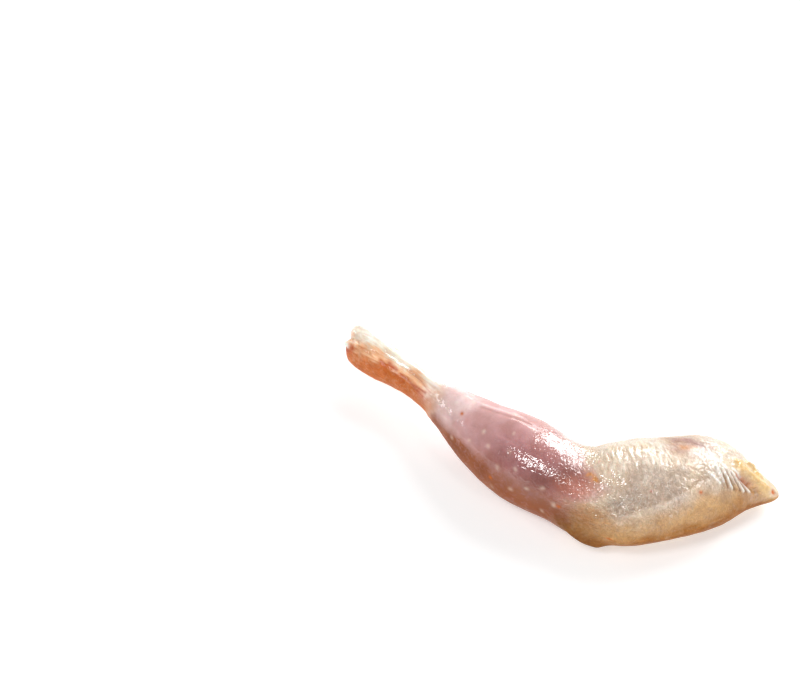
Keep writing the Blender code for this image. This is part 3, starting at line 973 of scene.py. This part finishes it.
def new_material(name, values):
    """A material and its shader, whose sockets have the values given."""
    material = bpy.data.materials.new(name)
    material.use_nodes = True
    shader = material.node_tree.nodes["Principled BSDF"]
    for socket, value in values.items():
        shader.inputs[socket].default_value = value
    return material, shader


def add(material, kind, settings=(), **inputs):
    """Add a node, set its properties and then its inputs, each a value or another socket."""
    node = material.node_tree.nodes.new(kind)
    for key, value in dict(settings).items():
        setattr(node, key, value)
    for key, value in inputs.items():
        socket = node.inputs[int(key[1:])] if key[0] == "_" else node.inputs[key.replace("_", " ")]
        if isinstance(value, bpy.types.NodeSocket):
            material.node_tree.links.new(value, socket)
        else:
            socket.default_value = value
    return node


def attribute(material, name):
    """The socket of a mask, or of the place on the straightened leg."""
    node = add(material, "ShaderNodeAttribute", {"attribute_name": name})
    return node.outputs["Vector" if name == "place" else "Fac"]


def arithmetic(material, operation, first, second=0.0, third=0.0, clamp=False):
    """One Math node's result."""
    settings = {"operation": operation, "use_clamp": clamp}
    return add(material, "ShaderNodeMath", settings, _0=first, _1=second, _2=third).outputs[0]


def scaled(material, value, factor, added, clamp=False):
    """A value times a factor, with something added."""
    return arithmetic(material, "MULTIPLY_ADD", value, factor, added, clamp)


def mix(material, factor, below, above):
    """One colour over another."""
    settings = {"data_type": "RGBA"}
    return add(material, "ShaderNodeMix", settings, _0=factor, _6=below, _7=above).outputs[2]


def grain(material, place, name):
    """Noise on the straightened leg, from 0 to 1."""
    kind = GRAINS[name]
    scale = (1 / kind.along, 1 / kind.around, 1 / kind.around)
    mapped = add(material, "ShaderNodeMapping", Vector=place, Rotation=GRAIN_ROTATION, Scale=scale)
    node = add(
        material, "ShaderNodeTexNoise", Vector=mapped.outputs[0], Scale=1.0,
        Detail=kind.detail, Roughness=kind.roughness, Distortion=kind.distortion,
    )
    return node.outputs["Fac"]


def thin_lines(material, place, name, sharpness):
    """Lines where a slow noise passes through its middle value, 1 on them and 0 beside them."""
    away = arithmetic(material, "SUBTRACT", grain(material, place, name), 0.5)
    away = arithmetic(material, "ABSOLUTE", away)
    return scaled(material, away, -sharpness, 1.0, clamp=True)


def tinted(material, colour, name, mask, amount=1.0):
    """A colour with one of the tints, which follows the mask."""
    tint = TINTS[name]
    ramp = add(material, "ShaderNodeValToRGB", Fac=mask)
    first, second = ramp.color_ramp.elements
    first.position = tint.low
    first.color = (*tint.first, 1)
    second.position = tint.high
    second.color = (*tint.second, 1)
    settings = {"data_type": "RGBA", "blend_type": "MULTIPLY"}
    inputs = {"_0": amount, "_6": colour, "_7": ramp.outputs["Color"]}
    return add(material, "ShaderNodeMix", settings, **inputs).outputs[2]


def skin_material():
    """Thin wet skin over muscle and fat."""
    material, shader = new_material("raw_skin", SKIN_SHADER)
    links = material.node_tree.links
    place = attribute(material, "place")
    dry = attribute(material, "dry")
    thigh = attribute(material, "thigh")
    patches = grain(material, place, "patches")
    mottle = grain(material, place, "mottle")
    wrinkles = thin_lines(material, place, "wrinkles", WRINKLE_SHARPNESS)
    highlight_crackle = thin_lines(material, place, "highlight_crackle", CRACKLE_SHARPNESS)

    colour = mix(material, scaled(material, patches, *WARMTH, clamp=True), COOL_CREAM, WARM_CREAM)
    ragged = scaled(material, mottle, *RAGGED_PAINT)
    for name, paint_colour, strength in LAYERS:
        mask = arithmetic(material, "MULTIPLY", attribute(material, name), strength)
        if name not in SMOOTH_LAYERS:
            mask = arithmetic(material, "MULTIPLY", mask, ragged, clamp=True)
        colour = mix(material, mask, colour, paint_colour)

    on_thigh = scaled(material, thigh, *ON_THIGH)
    on_band = scaled(material, attribute(material, "band"), ON_BAND, on_thigh, clamp=True)
    # Painted shade on the back.
    colour = tinted(material, colour, "back", attribute(material, "back"))
    colour = tinted(material, colour, "patches", patches)
    colour = tinted(material, colour, "mottle", mottle, scaled(material, thigh, *SPECKLED))
    colour = tinted(material, colour, "threads", grain(material, place, "threads"), on_thigh)
    # Painted shade along the wrinkle lines.
    colour = tinted(material, colour, "wrinkles", wrinkles, on_thigh)
    # Painted highlight dashes on the thigh and its band.
    colour = tinted(material, colour, "highlight_crackle", highlight_crackle, on_band)
    shank = attribute(material, "shank")
    colour = tinted(material, colour, "strands", grain(material, place, "strands"), shank)
    # Painted shade and light that follow the fine relief.
    colour = tinted(material, colour, "rise", attribute(material, "rise"))
    links.new(colour, shader.inputs["Base Color"])

    # The coat is the wet film on the skin, which is nearly gone where the skin is dry.
    rough = scaled(material, mottle, *ROUGHNESS)
    links.new(scaled(material, dry, DRY_ROUGHNESS, rough), shader.inputs["Roughness"])
    links.new(scaled(material, dry, DRY_COAT, 1.0), shader.inputs["Coat Weight"])

    # Relief finer than the mesh, in millimetres.
    creased = arithmetic(material, "MULTIPLY", attribute(material, "creased"), 1 / CREASE_UNIT)
    height = arithmetic(material, "MULTIPLY", grain(material, place, "creases"), creased)
    depth = arithmetic(material, "MULTIPLY", on_thigh, -WRINKLE_DEPTH)
    height = scaled(material, wrinkles, depth, height)
    bump = add(material, "ShaderNodeBump", Strength=1.0, Distance=MM, Height=height)
    links.new(bump.outputs[0], shader.inputs["Normal"])
    links.new(bump.outputs[0], shader.inputs["Coat Normal"])
    return material


# -------------------------------------- table, light, camera

TABLE_WIDTH = 6.0
WORLD_LIGHT = 0.18

# Soft lights: azimuth (0 at the camera's side, 90 at +X), elevation, distance, width and height
# in metres, and power in watts.
SoftLight = namedtuple("SoftLight", "azimuth elevation distance width height power")
LIGHTS = {
    "window_behind": SoftLight(161.0, 21.0, 1.0, 0.50, 0.35, 4.6),
    "window_high": SoftLight(133.0, 45.0, 1.0, 0.38, 0.34, 3.6),
    "window_low": SoftLight(83.0, 17.0, 1.0, 0.22, 0.32, 1.2),
    "window_right": SoftLight(45.0, 32.0, 1.0, 0.17, 0.80, 1.9),
    "softbox_left": SoftLight(-56.0, 60.0, 1.0, 0.28, 0.26, 3.0),
    "card_left": SoftLight(-112.0, 18.0, 1.0, 0.44, 0.24, 1.4),
    "card_front": SoftLight(14.0, 44.0, 1.0, 0.40, 0.36, 1.1),
    "softbox_above": SoftLight(-14.0, 69.0, 1.1, 0.50, 0.50, 0.3),
}

CAMERA_ELEVATION = 52.0
CAMERA_LENS = 100.0
CAMERA_NEAREST = 0.01
CAMERA_DISTANCE = 458.2 * MM
# The point that the camera looks at, in the solid's own frame.
CAMERA_TARGET = (-31.9 * MM, 21.1 * MM, 7.5 * MM)


def direction(azimuth, elevation):
    """Unit vector towards a light or the camera."""
    turn = math.radians(azimuth)
    lift = math.radians(elevation)
    level = math.cos(lift)
    return Vector((math.sin(turn) * level, -math.cos(turn) * level, math.sin(lift)))


def make_table():
    """The plain table under the leg, which isn't part of it."""
    half = TABLE_WIDTH / 2
    corners = [(-half, -half, 0), (half, -half, 0), (half, half, 0), (-half, half, 0)]
    mesh = bpy.data.meshes.new("pale_table")
    mesh.from_pydata(corners, [], [(0, 1, 2, 3)])
    # It is smooth and white, and glows a little, as a table that is lit from below does.
    mesh.materials.append(new_material("pale_table", TABLE_SHADER)[0])
    table = bpy.data.objects.new("pale_table", mesh)
    bpy.context.collection.objects.link(table)


def make_lights():
    """Soft lights round the leg, and the even light of a pale room."""
    for name, light in LIGHTS.items():
        data = bpy.data.lights.new(name, "AREA")
        data.shape = "RECTANGLE"
        data.size = light.width
        data.size_y = light.height
        data.energy = light.power
        lamp = bpy.data.objects.new(name, data)
        way = direction(light.azimuth, light.elevation)
        lamp.location = way * light.distance
        lamp.rotation_euler = way.to_track_quat("Z", "Y").to_euler()
        bpy.context.collection.objects.link(lamp)
    world = bpy.data.worlds.new("pale_room")
    world.use_nodes = True
    background = world.node_tree.nodes["Background"]
    background.inputs["Color"].default_value = (1.0, 1.0, 1.0, 1.0)
    background.inputs["Strength"].default_value = WORLD_LIGHT
    bpy.context.scene.world = world
    bpy.context.scene.view_settings.view_transform = "Standard"


def make_camera():
    """The camera, at the photograph's angle and framing."""
    data = bpy.data.cameras.new("camera")
    data.lens = CAMERA_LENS
    data.clip_start = CAMERA_NEAREST
    camera = bpy.data.objects.new("camera", data)
    back = direction(0.0, CAMERA_ELEVATION)
    camera.location = Vector(CAMERA_TARGET) + back * CAMERA_DISTANCE
    camera.rotation_euler = back.to_track_quat("Z", "Y").to_euler()
    bpy.context.collection.objects.link(camera)
    bpy.context.scene.camera = camera


def make_skin():
    """The leg's skin, in place of the plain solid."""
    piece = bpy.data.objects.new("raw_quail_leg", skin_mesh())
    piece.data.materials.append(skin_material())
    bpy.context.collection.objects.link(piece)
    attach(piece, "root")
    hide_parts(NODE)


make_camera()
make_lights()
make_table()
make_skin()
